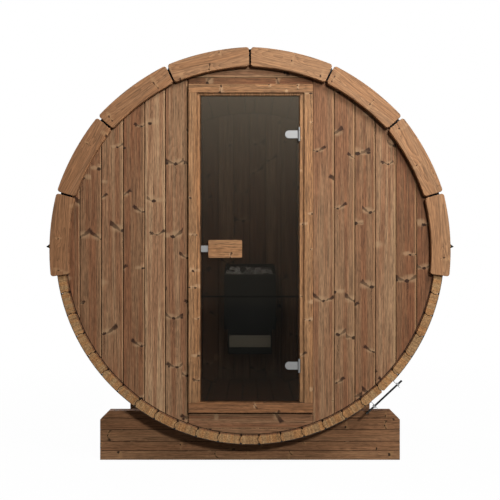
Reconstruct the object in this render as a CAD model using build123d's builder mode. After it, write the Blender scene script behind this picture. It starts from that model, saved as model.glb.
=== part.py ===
from build123d import *
import os
from math import asin, ceil, cos, degrees, radians, sin, sqrt, tan

# Barrel sauna: thermally modified softwood staves on two cradles, with a smoked glass door.
# Millimetres, +Z up, the front faces -Y, the origin is on the ground under the barrel's middle.

# --- driving sizes -----------------------------------------------------------------------

barrel_radius = 1000  # to the outer corners of the staves
barrel_length = 1570
ground_clearance = 130  # under the barrel's lowest point
stave_thickness = 42
stave_width = 117.6
closing_stave_width = 95.3  # the narrower stave at the very bottom
least_top_stave = 0.15  # the top stave is at least this share of a full one
stave_gap = 0.6
seat_gap = 0.3  # between a round piece and what carries it

wall_thickness = 42
wall_recess = 30  # the walls stand this far inside the stave ends

door_opening_width = 515  # between the door stops
door_threshold = 110  # from the floor up to the door opening
door_headroom = 201  # from the door opening up to the barrel's highest point
frame_board_width = 44
frame_proud = 28  # how far the door frame stands out of the front wall
latch_stop_width = 15
hinge_stop_width = 22
head_stop_height = 11
stop_setback = 18  # from the frame's front back to the stops
sill_height = 52  # the sill runs under both uprights
frame_edge_round = 1.2
edge_round = 2.5  # on the edges of the handles and the latch

glass_thickness = 8
glass_clearance = 5
glass_setback = 2  # behind the front of the stops

handle_width = 174
handle_height = 92
handle_thickness = 26
handle_inset = 38  # from the glass edge to the handle block
handle_centre = 5.5  # above the barrel's axis
handle_corner = 6
latch_height = 35
latch_thickness = 12
latch_centre = 6

hinge_inset = 189  # from the opening's foot up to the lower hinge; the upper one mirrors it
hinge_height = 71
hinge_diameter = 13
hinge_pin_diameter = 7
hinge_stand_off = 10  # from the glass front out to the hinge pin
hinge_pin_clearance = 0.3
hinge_leaf_thickness = 2.8
hinge_leaf_depth = 30
hinge_running_gap = 1
tab_length = 71.5
tab_height = 40
tab_thickness = 6

floor_rise = 104  # from the barrel's lowest point up to the floor, which lies low in the barrel
floor_board_width = 85
floor_board_thickness = 28
floor_board_gap = 8
floor_side_gap = 5  # at least this much beside the outermost boards
floor_end_gap = 4
bearer_width = 60
bearer_count = 3

heater_width = 338
heater_depth = 300
heater_height = 363
heater_floor_gap = 207  # from the floor up to the heater's base
heater_wall_gap = 30
heater_rim = 4
heater_guard_rise = 62  # the back guard above the front rim
stone_tray_depth = 60
stone_mound_height = 56
stone_crown_share = 0.6  # the mound's flat top, as a share of its base
heater_base_width = 290
heater_base_depth = 262
heater_base_height = 168
heater_panel_width = 273
heater_panel_height = 78
heater_panel_thickness = 3
heater_panel_drop = 43  # from the base's top down to the panel
heater_bracket_width = 200
heater_bracket_height = 320

cradle_width = 1614
cradle_rise = 134  # from the barrel's lowest point up to the cradle's top
cradle_thickness = 58
cradle_setback = 200  # from the stave ends
cradle_chamfer = 47

band_thickness = 2.5
band_width = 25
band_setback = 12  # from the stave ends
tensioner_angle = 46.9  # below the horizontal, on the right
lug_spacing = 154
lug_length = 46
rod_diameter = 10
rod_offset = 29  # from the barrel's radius out to the rod's centre line
rod_upper_end = 112  # from the middle of the two lugs
rod_lower_end = 140
rod_clearance = 0.3
nut_size = 17
nut_thickness = 8

roof_cover_thickness = 14.9  # level with the barrel's axis; thicker towards the ridge
roof_raise = 9  # the cover's circle stands this much higher than the barrel's
roof_edge_height = 31.3  # above the barrel's axis
roof_seam = 0.6
drip_edge_drop = 27
drip_edge_reach = 29
drip_ledge = 12  # how far its top stands out past the cover
drip_lip = 3

fascia_overhang = 11  # how far the boards' outer corners stand past the roof cover
fascia_width = 98
fascia_thickness = 26
fascia_sweep = 98.4  # from the top down to the last board's end, in degrees
fascia_boards_per_side = 4
fascia_gap = 10
fascia_flatness = 3.6  # each board's arcs are this much flatter than the ring
fascia_corner = 14
fascia_round = 3

# --- sizes that follow -------------------------------------------------------------------

axis_height = barrel_radius + ground_clearance
front_end = -barrel_length / 2
rear_end = barrel_length / 2
stave_half_angle = degrees(asin(stave_width / 2 / barrel_radius))
closing_half_angle = degrees(asin(closing_stave_width / 2 / barrel_radius))
stave_apothem = barrel_radius * cos(radians(stave_half_angle))
inner_apothem = stave_apothem - stave_thickness
wall_radius = inner_apothem - seat_gap
front_wall_face = front_end + wall_recess
front_wall_back = front_wall_face + wall_thickness
rear_wall_face = rear_end - wall_recess - wall_thickness

floor_level = floor_rise - barrel_radius  # this and the levels below are from the barrel's axis
sill_top = floor_level + door_threshold
opening_top = barrel_radius - door_headroom
head_bottom = opening_top + head_stop_height
opening_half = door_opening_width / 2
frame_left = -opening_half - latch_stop_width - frame_board_width
frame_right = opening_half + hinge_stop_width + frame_board_width
frame_top = head_bottom + frame_board_width
frame_bottom = sill_top - sill_height
frame_front = front_wall_face - frame_proud
frame_depth = frame_proud + wall_thickness
stop_front = frame_front + stop_setback
glass_front = stop_front + glass_setback
glass_back = glass_front + glass_thickness
glass_half = opening_half - glass_clearance
hinge_x = opening_half - hinge_leaf_thickness - hinge_running_gap
hinge_y = glass_front - hinge_stand_off


def facing_front(y):
    """A plane across the barrel at y, seen from the front and centred on the barrel's axis."""
    return Plane(origin=(0, y, axis_height), x_dir=(1, 0, 0), z_dir=(0, -1, 0))


def level(z):
    """A level plane at a height measured from the barrel's axis."""
    return Plane.XY.offset(axis_height + z)


def around(radius, angle):
    """A point on a circle, with the angle in degrees clockwise from the top."""
    return (radius * sin(radians(angle)), radius * cos(radians(angle)))


def save(part, name):
    part.label = name
    export_step(part, f"parts/{name}.step")


# --- barrel staves -----------------------------------------------------------------------


def stave_section(half_angle, angle):
    """Corners of one stave: flat outside and inside, with radial joints."""
    outer = barrel_radius * cos(radians(half_angle))
    inner = outer - stave_thickness
    slope = tan(radians(half_angle))
    outer_half = outer * slope - stave_gap / 2
    inner_half = inner * slope - stave_gap / 2
    corners = [(-outer_half, outer), (outer_half, outer), (inner_half, inner), (-inner_half, inner)]
    return Polygon(*corners, rotation=-angle, align=None)


def save_staves(name, staves):
    with BuildPart() as group:
        with BuildSketch(facing_front(rear_end)):
            for half_angle, angle in staves:
                stave_section(half_angle, angle)
        extrude(amount=barrel_length)
    save(group.part, name)


side_sweep = 180 - closing_half_angle
side_stave_count = int(side_sweep / (2 * stave_half_angle) - least_top_stave)
top_half_angle = side_sweep - side_stave_count * 2 * stave_half_angle
right_angles = [side_sweep - (2 * k + 1) * stave_half_angle for k in range(side_stave_count)]
end_group = 3  # staves on each side that share the bottom and the top group
side_groups = 4
group_size = ceil((side_stave_count - 2 * end_group) / side_groups)
middle_angles = right_angles[end_group:-end_group]


def both_sides(angles):
    return [(stave_half_angle, side * angle) for angle in angles for side in (1, -1)]


save_staves("staves_bottom", [(closing_half_angle, 180)] + both_sides(right_angles[:end_group]))
save_staves("staves_top", [(top_half_angle, 0)] + both_sides(right_angles[-end_group:]))
for number in range(side_groups):
    angles = middle_angles[number * group_size:(number + 1) * group_size]
    save_staves(f"staves_right_{number + 1}", [(stave_half_angle, angle) for angle in angles])
    save_staves(f"staves_left_{number + 1}", [(stave_half_angle, -angle) for angle in angles])

# --- end walls ---------------------------------------------------------------------------


def save_wall(name, back, left, right, bottom, top):
    """A wall slab: the barrel's inside circle, cut to a box of the given limits."""
    with BuildPart() as wall:
        with BuildSketch(facing_front(back)):
            Circle(wall_radius)
            with Locations(((left + right) / 2, (bottom + top) / 2)):
                Rectangle(right - left, top - bottom, mode=Mode.INTERSECT)
        extrude(amount=wall_thickness)
    save(wall.part, name)


reach = wall_radius + 1
column_left = frame_left - seat_gap
column_right = frame_right + seat_gap
save_wall("front_wall_left", front_wall_back, -reach, column_left - seat_gap, -reach, reach)
save_wall("front_wall_right", front_wall_back, column_right + seat_gap, reach, -reach, reach)
save_wall("front_wall_header", front_wall_back, column_left, column_right, frame_top + seat_gap, reach)
save_wall("front_wall_lower", front_wall_back, column_left, column_right, -reach,
          frame_bottom - seat_gap)
save_wall("rear_wall", rear_wall_face + wall_thickness, -reach, reach, -reach, reach)

# --- door frame --------------------------------------------------------------------------


def save_board(name, front, depth, left, right, bottom, top, rounding):
    """A straight board seen from the front, with its front edges rounded over."""
    with BuildPart() as board:
        with BuildSketch(facing_front(front + depth)):
            with Locations(((left + right) / 2, (bottom + top) / 2)):
                Rectangle(right - left, top - bottom)
        extrude(amount=depth)
        fillet(board.faces().sort_by(Axis.Y)[0].edges(), rounding)
    save(board.part, name)


left_stop_edge = -opening_half - latch_stop_width
right_stop_edge = opening_half + hinge_stop_width
save_board("door_frame_left", frame_front, frame_depth, frame_left, left_stop_edge, sill_top,
           head_bottom, frame_edge_round)
save_board("door_frame_right", frame_front, frame_depth, right_stop_edge, frame_right, sill_top,
           head_bottom, frame_edge_round)
save_board("door_frame_head", frame_front, frame_depth, frame_left, frame_right, head_bottom,
           frame_top, frame_edge_round)
save_board("door_sill", frame_front, frame_depth, frame_left, frame_right, frame_bottom,
           sill_top, frame_edge_round)

with BuildPart() as door_stops:
    with BuildSketch(facing_front(front_wall_back)):
        with Locations(((left_stop_edge - opening_half) / 2, (sill_top + head_bottom) / 2)):
            Rectangle(latch_stop_width, head_bottom - sill_top)
        with Locations(((right_stop_edge + opening_half) / 2, (sill_top + head_bottom) / 2)):
            Rectangle(hinge_stop_width, head_bottom - sill_top)
        with Locations((0, (opening_top + head_bottom) / 2)):
            Rectangle(door_opening_width - 2 * seat_gap, head_stop_height)
    extrude(amount=front_wall_back - stop_front)
save(door_stops.part, "door_stops")

# --- door leaf ---------------------------------------------------------------------------

glass_bottom = sill_top + glass_clearance
glass_top = opening_top - glass_clearance
with BuildPart() as door_glass:
    with BuildSketch(facing_front(glass_back)):
        with Locations((0, (glass_bottom + glass_top) / 2)):
            Rectangle(2 * glass_half, glass_top - glass_bottom)
    extrude(amount=glass_thickness)
save(door_glass.part, "door_glass")

handle_left = -glass_half + handle_inset


def save_handle(name, back):
    with BuildPart() as handle:
        with BuildSketch(facing_front(back)):
            with Locations((handle_left + handle_width / 2, handle_centre)):
                RectangleRounded(handle_width, handle_height, handle_corner)
        extrude(amount=handle_thickness)
        fillet(handle.faces().sort_by(Axis.Y)[0].edges(), edge_round)
        fillet(handle.faces().sort_by(Axis.Y)[-1].edges(), edge_round)
    save(handle.part, name)


save_handle("door_handle_outside", glass_front)
save_handle("door_handle_inside", glass_back + handle_thickness)

with BuildPart() as door_latch:
    with BuildSketch(facing_front(glass_front)):
        with Locations(((handle_left - glass_half) / 2, latch_centre)):
            Rectangle(handle_inset, latch_height)
    extrude(amount=latch_thickness)
    fillet(door_latch.faces().sort_by(Axis.Y)[0].edges().filter_by(Axis.X), edge_round)
save(door_latch.part, "door_latch")

# --- hinges ------------------------------------------------------------------------------

hinge_heights = (sill_top + hinge_inset, -sill_top - hinge_inset)
bore_radius = hinge_pin_diameter / 2 + hinge_pin_clearance
ear_height = (hinge_height - tab_height) / 2 - hinge_pin_clearance
leaf_front = hinge_y + hinge_diameter / 2 + hinge_running_gap
leaf_back = leaf_front + hinge_leaf_depth

with BuildPart() as hinge_tabs:
    with BuildSketch(facing_front(glass_front)):
        for height in hinge_heights:
            with Locations((glass_half, height)):
                Rectangle(tab_length - tab_height / 2, tab_height, align=(Align.MAX, Align.CENTER))
            with Locations((glass_half - tab_length + tab_height / 2, height)):
                Circle(tab_height / 2)
    extrude(amount=tab_thickness)
    for height in hinge_heights:
        with BuildSketch(level(height - tab_height / 2)):
            with Locations((hinge_x, hinge_y)):
                Circle(hinge_diameter / 2)
        extrude(amount=tab_height)
        with BuildSketch(level(height - tab_height / 2)):
            with Locations((hinge_x, hinge_y)):
                Circle(bore_radius)
        extrude(amount=tab_height, mode=Mode.SUBTRACT)
save(hinge_tabs.part, "hinge_tabs")

with BuildPart() as hinge_pins:
    for height in hinge_heights:
        bottom = height - hinge_height / 2
        with BuildSketch(level(bottom)):
            with Locations((hinge_x, hinge_y)):
                Circle(hinge_pin_diameter / 2)
            with Locations((opening_half - hinge_leaf_thickness / 2, (leaf_front + leaf_back) / 2)):
                Rectangle(hinge_leaf_thickness, hinge_leaf_depth)
        extrude(amount=hinge_height)
        for start in (bottom, bottom + hinge_height - ear_height):
            with BuildSketch(level(start)):
                with Locations((hinge_x, hinge_y)):
                    Circle(hinge_diameter / 2)
                with Locations((opening_half - hinge_leaf_thickness / 2, (hinge_y + leaf_front) / 2)):
                    Rectangle(hinge_leaf_thickness, leaf_front - hinge_y)
            extrude(amount=ear_height)
save(hinge_pins.part, "hinge_pins")

# --- floor -------------------------------------------------------------------------------

floor_length = rear_wall_face - front_wall_back - 2 * floor_end_gap
floor_pitch = floor_board_width + floor_board_gap
floor_underside = floor_level - floor_board_thickness
floor_room = 2 * (sqrt(wall_radius ** 2 - floor_underside ** 2) - floor_side_gap)
floor_board_count = int((floor_room + floor_board_gap) / floor_pitch)
floor_width = floor_board_count * floor_pitch - floor_board_gap
with BuildPart() as floor_boards:
    with BuildSketch(level(floor_underside)):
        with GridLocations(floor_pitch, 1, floor_board_count, 1):
            Rectangle(floor_board_width, floor_length)
    extrude(amount=floor_board_thickness)
save(floor_boards.part, "floor_boards")

bearer_pitch = (floor_length - bearer_width) / (bearer_count - 1)
first_bearer_back = front_wall_back + floor_end_gap + bearer_width
with BuildPart() as floor_bearers:  # each is rounded underneath to lie in the barrel's bottom
    for number in range(bearer_count):
        with BuildSketch(facing_front(first_bearer_back + number * bearer_pitch)):
            Circle(wall_radius)
            with Locations((0, floor_underside)):
                Rectangle(floor_width, wall_radius, align=(Align.CENTER, Align.MAX), mode=Mode.INTERSECT)
        extrude(amount=bearer_width)
save(floor_bearers.part, "floor_bearers")

# --- heater ------------------------------------------------------------------------------

heater_back = rear_wall_face - heater_wall_gap
heater_front = heater_back - heater_depth
heater_bottom = floor_level + heater_floor_gap + heater_base_height
heater_top = heater_bottom + heater_height
tray_bottom = heater_top - stone_tray_depth

with BuildPart() as heater_body:  # its sides rise from the front rim to a guard at the back
    with BuildSketch(Plane(origin=(0, 0, axis_height), x_dir=(0, 1, 0), z_dir=(1, 0, 0))):
        with BuildLine():
            Polyline(
                (heater_front, heater_bottom), (heater_back, heater_bottom),
                (heater_back, heater_top + heater_guard_rise), (heater_front, heater_top), close=True,
            )
        make_face()
    extrude(amount=heater_width / 2, both=True)
    with BuildSketch(level(tray_bottom)):
        with Locations((0, (heater_front + heater_back) / 2)):
            Rectangle(heater_width - 2 * heater_rim, heater_depth - 2 * heater_rim)
    extrude(amount=stone_tray_depth + heater_guard_rise, mode=Mode.SUBTRACT)
save(heater_body.part, "heater_body")

stones_width = heater_width - 2 * heater_rim - 2 * seat_gap
stones_depth = heater_depth - 2 * heater_rim - 2 * seat_gap
crown_width = stones_width * stone_crown_share
crown_depth = stones_depth * stone_crown_share
with BuildPart() as heater_stones:
    with BuildSketch(level(tray_bottom)):
        with Locations((0, (heater_front + heater_back) / 2)):
            Rectangle(stones_width, stones_depth)
    extrude(amount=stone_tray_depth)
    with BuildSketch(level(heater_top)):
        with Locations((0, (heater_front + heater_back) / 2)):
            Rectangle(stones_width, stones_depth)
    with BuildSketch(level(heater_top + stone_mound_height)):
        with Locations((0, (heater_front + heater_back) / 2)):
            Rectangle(crown_width, crown_depth)
    loft()
save(heater_stones.part, "heater_stones")

base_front = heater_back - heater_base_depth
with BuildPart() as heater_base:
    with BuildSketch(level(heater_bottom - heater_base_height)):
        with Locations((0, heater_back - heater_base_depth / 2)):
            Rectangle(heater_base_width, heater_base_depth)
    extrude(amount=heater_base_height)
save(heater_base.part, "heater_base")

with BuildPart() as heater_panel:
    with BuildSketch(facing_front(base_front)):
        with Locations((0, heater_bottom - heater_panel_drop)):
            Rectangle(heater_panel_width, heater_panel_height, align=(Align.CENTER, Align.MAX))
    extrude(amount=heater_panel_thickness)
save(heater_panel.part, "heater_panel")

with BuildPart() as heater_bracket:
    with BuildSketch(facing_front(rear_wall_face)):
        with Locations((0, (heater_bottom + heater_top) / 2)):
            Rectangle(heater_bracket_width, heater_bracket_height)
    extrude(amount=heater_wall_gap)
save(heater_bracket.part, "heater_bracket")

# --- cradles -----------------------------------------------------------------------------


def save_cradle(name, back):
    with BuildPart() as cradle:
        with BuildSketch(facing_front(back)) as outline:
            with Locations((0, -axis_height)):
                Rectangle(cradle_width, ground_clearance + cradle_rise, align=(Align.CENTER, Align.MIN))
            chamfer(outline.vertices().group_by(Axis.Y)[-1], cradle_chamfer)
            Circle(barrel_radius + seat_gap, mode=Mode.SUBTRACT)
        extrude(amount=cradle_thickness)
    save(cradle.part, name)


save_cradle("front_cradle", front_end + cradle_setback + cradle_thickness)
save_cradle("rear_cradle", rear_end - cradle_setback)

# --- bands and tensioners ----------------------------------------------------------------

band_inner = barrel_radius + seat_gap
band_outer = band_inner + band_thickness
rod_radius = barrel_radius + rod_offset
lug_middle = sqrt(band_inner ** 2 - (lug_spacing / 2) ** 2)


def tension_plane(y):
    """A plane across the barrel at y: its x runs outwards through the middle of the tensioner."""
    outwards = (cos(radians(tensioner_angle)), 0, -sin(radians(tensioner_angle)))
    return Plane(origin=(0, y, axis_height), x_dir=outwards, z_dir=(0, -1, 0))


def rod_plane(back, distance):
    """A plane across the rod, at a distance down from the middle of the two lugs."""
    across = tension_plane(back - band_width / 2)
    origin = across.origin + across.x_dir * rod_radius - across.y_dir * distance
    return Plane(origin=origin, x_dir=across.z_dir, z_dir=-across.y_dir)


def save_band(name, back):
    """A strap round the barrel, whose two ends are bent outwards into lugs for the rod."""
    lug_centre = lug_middle + lug_length / 2
    with BuildPart() as band:
        with BuildSketch(tension_plane(back)):
            Circle(band_outer)
            Circle(band_inner, mode=Mode.SUBTRACT)
            with Locations((band_outer, 0)):
                Rectangle(2 * lug_length, lug_spacing, mode=Mode.SUBTRACT)
            for side in (-1, 1):
                with Locations((lug_centre + band_thickness, side * (lug_spacing + band_thickness) / 2)):
                    Rectangle(lug_length, band_thickness)
        extrude(amount=band_width)
        with BuildSketch(rod_plane(back, 0)):
            Circle(rod_diameter / 2 + rod_clearance)
        extrude(amount=lug_spacing, both=True, mode=Mode.SUBTRACT)
    save(band.part, name)


def save_tensioner(name, back):
    nut_face = lug_spacing / 2 + band_thickness
    with BuildPart() as tensioner:
        with BuildSketch(rod_plane(back, -rod_upper_end)):
            Circle(rod_diameter / 2)
        extrude(amount=rod_upper_end + rod_lower_end)
        for start in (-nut_face - nut_thickness, nut_face):
            with BuildSketch(rod_plane(back, start)):
                RegularPolygon(nut_size / 2, 6, major_radius=False)
            extrude(amount=nut_thickness)
    save(tensioner.part, name)


front_band_back = front_end + band_setback + band_width
rear_band_back = rear_end - band_setback
save_band("front_band", front_band_back)
save_band("rear_band", rear_band_back)
save_tensioner("front_tensioner", front_band_back)
save_tensioner("rear_tensioner", rear_band_back)

# --- roof cover --------------------------------------------------------------------------

roof_inner = band_outer + seat_gap
roof_radius = roof_inner + roof_cover_thickness
roof_top = roof_radius + roof_raise


def save_roof_half(name, side):
    """One half of the bituminous cover, from the ridge seam down to the drip edge."""
    with BuildPart() as cover:
        with BuildSketch(facing_front(rear_end)):
            with Locations((0, roof_raise)):
                Circle(roof_radius)
            Circle(roof_inner, mode=Mode.SUBTRACT)
            with Locations((side * (roof_seam / 2 + roof_top / 2), (roof_edge_height + roof_top) / 2)):
                Rectangle(roof_top, roof_top - roof_edge_height, mode=Mode.INTERSECT)
        extrude(amount=barrel_length)
    save(cover.part, name)


def save_drip_edge(name, side):
    """A folded edge strip under the cover, with its lip kicked out past the fascia."""
    top = roof_edge_height - seat_gap
    bottom = top - drip_edge_drop
    tip = (top + bottom) / 2
    profile = [
        (roof_inner, top),
        (roof_radius + drip_ledge, top),
        (roof_radius + drip_edge_reach, tip),
        (roof_radius + drip_edge_reach - drip_lip, tip - drip_lip),
        (roof_radius, bottom),
        (roof_inner, bottom),
    ]
    with BuildPart() as strip:
        with BuildSketch(facing_front(rear_end)):
            Polygon(*[(side * x, z) for x, z in profile][::side], align=None)
        extrude(amount=barrel_length)
    save(strip.part, name)


for name, side in (("left", -1), ("right", 1)):
    save_roof_half(f"roof_cover_{name}", side)
    save_drip_edge(f"roof_drip_edge_{name}", side)

# --- fascia boards -----------------------------------------------------------------------

fascia_radius = roof_radius + fascia_overhang  # about the roof cover's centre
fascia_inner = fascia_radius - fascia_width
fascia_pitch = fascia_sweep / fascia_boards_per_side
fascia_half_gap = degrees(fascia_gap / 2 / fascia_radius)


def save_fascia(name, back, side, show_face):
    """The boards down one side of a ring, with the edges of their outward face rounded over."""
    across = facing_front(back)
    ring_centre = Plane(across.origin + (0, 0, roof_raise), x_dir=across.x_dir, z_dir=across.z_dir)
    with BuildPart() as fascia:
        for number in range(fascia_boards_per_side):
            middle = side * (number + 0.5) * fascia_pitch
            start = middle - fascia_pitch / 2 + fascia_half_gap
            stop = middle + fascia_pitch / 2 - fascia_half_gap
            with BuildSketch(ring_centre) as board:
                with BuildLine():
                    outer_arc = ThreePointArc(
                        around(fascia_radius, start),
                        around(fascia_radius - fascia_flatness, middle),
                        around(fascia_radius, stop),
                    )
                    inner_arc = ThreePointArc(
                        around(fascia_inner, stop),
                        around(fascia_inner - fascia_flatness, middle),
                        around(fascia_inner, start),
                    )
                    Line(outer_arc @ 1, inner_arc @ 0)
                    Line(inner_arc @ 1, outer_arc @ 0)
                make_face()
                fillet(board.vertices(), fascia_corner)
        extrude(amount=fascia_thickness)
        fillet(fascia.faces().filter_by(Axis.Y).group_by(Axis.Y)[show_face].edges(), fascia_round)
    save(fascia.part, name)


for name, side in (("left", -1), ("right", 1)):
    save_fascia(f"front_fascia_{name}", front_end, side, 0)
    save_fascia(f"rear_fascia_{name}", rear_end + fascia_thickness, side, -1)
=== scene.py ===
import bpy
import bmesh
import random
from math import acos, ceil, cos, pi, radians, sin, tan
from mathutils import Matrix, Vector


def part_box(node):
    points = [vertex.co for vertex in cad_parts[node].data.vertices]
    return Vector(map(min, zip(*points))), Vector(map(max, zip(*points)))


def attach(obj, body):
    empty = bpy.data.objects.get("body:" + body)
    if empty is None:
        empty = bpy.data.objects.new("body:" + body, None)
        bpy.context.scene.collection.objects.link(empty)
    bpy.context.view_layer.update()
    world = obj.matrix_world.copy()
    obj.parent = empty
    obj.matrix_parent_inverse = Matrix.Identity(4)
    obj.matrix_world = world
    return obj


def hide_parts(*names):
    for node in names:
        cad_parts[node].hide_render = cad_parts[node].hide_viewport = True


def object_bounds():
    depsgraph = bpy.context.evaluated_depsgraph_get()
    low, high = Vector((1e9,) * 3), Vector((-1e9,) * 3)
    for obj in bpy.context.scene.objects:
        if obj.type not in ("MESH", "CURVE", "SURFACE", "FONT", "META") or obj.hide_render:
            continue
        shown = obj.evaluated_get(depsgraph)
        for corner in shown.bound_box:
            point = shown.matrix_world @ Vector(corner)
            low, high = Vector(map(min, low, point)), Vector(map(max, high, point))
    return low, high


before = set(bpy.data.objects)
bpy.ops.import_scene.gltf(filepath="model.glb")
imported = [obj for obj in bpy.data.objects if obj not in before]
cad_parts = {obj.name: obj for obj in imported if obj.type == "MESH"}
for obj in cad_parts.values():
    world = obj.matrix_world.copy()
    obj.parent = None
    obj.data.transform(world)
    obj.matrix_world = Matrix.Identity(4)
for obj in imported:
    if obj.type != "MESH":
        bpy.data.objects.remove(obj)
cadBox = [list(corner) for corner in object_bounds()]
print("frame loaded:", len(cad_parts), "parts")

# helpers: lengths in metres, colours as sRGB hex


def toLinear(colour):
    parts = [int(colour[i:i + 2], 16) / 255 for i in (1, 3, 5)]
    return [c / 12.92 if c <= 0.04045 else ((c + 0.055) / 1.055) ** 2.4 for c in parts] + [1]


def wire(tree, kind, *feeds, named=None, **settings):
    # one node with its links: the kind may end in the way it works, and a text value is a colour
    kind, _, way = kind.partition(" ")
    node = tree.nodes.new(kind if kind.startswith("Node") else "ShaderNode" + kind)
    if way:
        setattr(node, {"Mix": "data_type", "MapRange": "interpolation_type"}.get(kind, "operation"), way)
    for name, value in settings.items():
        setattr(node, name, value)
    sockets = [socket for socket in node.inputs if socket.enabled]
    pairs = list(zip(sockets, feeds)) + [(node.inputs[k], v) for k, v in (named or {}).items()]
    for socket, value in pairs:
        if isinstance(value, bpy.types.Node):
            value = next(output for output in value.outputs if output.enabled)
        if isinstance(value, bpy.types.NodeSocket):
            tree.links.new(value, socket)
        elif value is not None:
            socket.default_value = toLinear(value) if isinstance(value, str) else value
    return node


def emptyMaterial(name):
    material = bpy.data.materials.new(name)
    material.use_nodes = True
    material.node_tree.nodes.clear()
    return material, material.node_tree


def activate(piece):
    bpy.ops.object.select_all(action="DESELECT")
    piece.select_set(True)
    bpy.context.view_layer.objects.active = piece


def extrudeOutline(name, points, away, *skins):  # a flat outline of 3-D points, pushed along a vector
    bpy.ops.object.select_all(action="DESELECT")
    bpy.ops.mesh.primitive_circle_add(vertices=len(points), fill_type="NGON")
    piece = bpy.context.object
    piece.name = name
    for vertex, point in zip(piece.data.vertices, points):
        vertex.co = point
    bpy.ops.object.mode_set(mode="EDIT")
    bpy.ops.mesh.select_all(action="SELECT")
    bpy.ops.mesh.extrude_region_move(TRANSFORM_OT_translate={"value": away})
    bpy.ops.mesh.select_all(action="SELECT")
    bpy.ops.mesh.normals_make_consistent(inside=False)
    bpy.ops.object.mode_set(mode="OBJECT")
    for material in skins:
        piece.data.materials.append(material)
    return piece


def copyPiece(source, move):
    piece = source.copy()
    piece.data = source.data.copy()
    piece.data.transform(move)
    bpy.context.scene.collection.objects.link(piece)
    return piece


def markBoard(piece, number, tone):  # each board's number seeds its grain, and its tone shifts its colour
    for name, value in (("board", number), ("tone", tone)):
        layer = piece.data.attributes.get(name) or piece.data.attributes.new(name, "FLOAT", "FACE")
        layer.data.foreach_set("value", [value] * len(piece.data.polygons))


def joinPieces(name, pieces):
    activate(pieces[0])
    for piece in pieces:
        piece.select_set(True)
    bpy.ops.object.join()
    pieces[0].name = name
    return pieces[0]


def cleanMesh(piece, degrees):  # merges doubles, and clears points and edges that lie within flat faces
    activate(piece)
    bpy.ops.object.mode_set(mode="EDIT")
    bpy.ops.mesh.select_all(action="SELECT")
    bpy.ops.mesh.remove_doubles(threshold=0.00002)
    bpy.ops.mesh.dissolve_limited(angle_limit=radians(degrees))
    bpy.ops.object.mode_set(mode="OBJECT")


def keepInside(piece, node):  # trims a piece to the shape of a CAD part
    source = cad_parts[node]
    shape = source.copy()
    shape.data = source.data.copy()
    shape.parent = None
    shape.matrix_world = Matrix()
    bpy.context.scene.collection.objects.link(shape)
    cleanMesh(shape, 0.5)
    shape.data.materials.clear()
    activate(piece)
    cut = piece.modifiers.new("trim", "BOOLEAN")
    cut.operation = "INTERSECT"
    cut.solver = "EXACT"
    cut.object = shape
    bpy.ops.object.modifier_apply(modifier="trim")
    bpy.data.objects.remove(shape)
    cleanMesh(piece, 0.2)


def smooth(piece, degrees):
    activate(piece)
    bpy.ops.object.shade_smooth_by_angle(angle=radians(degrees))


def finishPiece(piece, slot, nodes, *materials):  # adds a piece to the frame, in place of its CAD parts
    for material in materials:
        piece.data.materials.append(material)
    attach(piece, "root")
    if nodes:
        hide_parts(*nodes)


# where the barrel is, all from the CAD parts

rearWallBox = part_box("rear_wall")
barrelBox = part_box("staves_bottom")
axisHeight = (rearWallBox[0].z + rearWallBox[1].z) / 2
barrelRadius = axisHeight - barrelBox[0].z
frontEnd, rearEnd = barrelBox[0].y, barrelBox[1].y
barrelLength = rearEnd - frontEnd
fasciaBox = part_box("front_fascia_right")
fasciaHeight = fasciaBox[1].z - fasciaBox[1].x  # the fascia ring's centre
stoneTrayDepth = 0.06  # from the stones' underside up to the tray's front rim
sillGap = 0.007  # between the door sill and the boards below it
spare = 0.01  # boards start this much longer at each end, and the cut takes it off

# wood: one grain for every board, seen through its own colours

grain = bpy.data.node_groups.new("softwoodGrain", "ShaderNodeTree")
for name in ("Across", "Along", "Seed", "RingCount", "KnotAcross", "KnotAlong", "KnotSize", "KnotShare"):
    grain.interface.new_socket(name, in_out="INPUT", socket_type="NodeSocketFloat")
for name in ("Rings", "Fibres", "Band", "Streak", "Knot", "Halo"):
    grain.interface.new_socket(name, in_out="OUTPUT", socket_type="NodeSocketFloat")

# knots, in mm at size 1. An oval: its centre, its half sizes, and the shares of them where it ends and is full.
# A wing: its side, its start beside the knot, its length and its lean in degrees.
knots = dict(spread=0.8, smallest=0.6, sizeRange=0.7, ragged=14, raggedSize=13, pin=(0, 0, 5.8, 4.2, 1.15, 0.8),
             twin=(-25, 2, 5, 3.4, 1.2, 0.7), twinAbove=0.5, bridge=(-12, 1, 12, 1.3, 1.2, 0.4), bridgeShade=0.6,
             crack=(1, -22, 1.3, 58, 1, 0.3), crackShade=0.7, crackAbove=0.66,
             rightHalo=(11, 6, 24, 12, 1.1, 0.3), leftHalo=(-14, 3, 17, 8, 1.1, 0.3),
             swell=(0, 0, 40, 80, 1.1, 0), swellRings=1.6, rightWing=(1, 5, 42, 36), leftWing=(-1, 5, 34, 24),
             leftWingAbove=0.35, wingSpread=0.15, wingRoot=1.6, wingLeast=0.5, wingPale=0.5, plainSlope=-0.95,
             plainStart=1.9)
# noise drawn out along the grain: its size across and along the board in mm, and its detail
noise = dict(ringWave=(75, 1500, 1), longFibre=(4.6, 190, 1.5), shortFibre=(3.6, 34, 2), band=(26, 900, 1),
             streak=(6, 380, 1), longShare=0.6, shortShare=0.4, ringSharpness=2.2)


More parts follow.
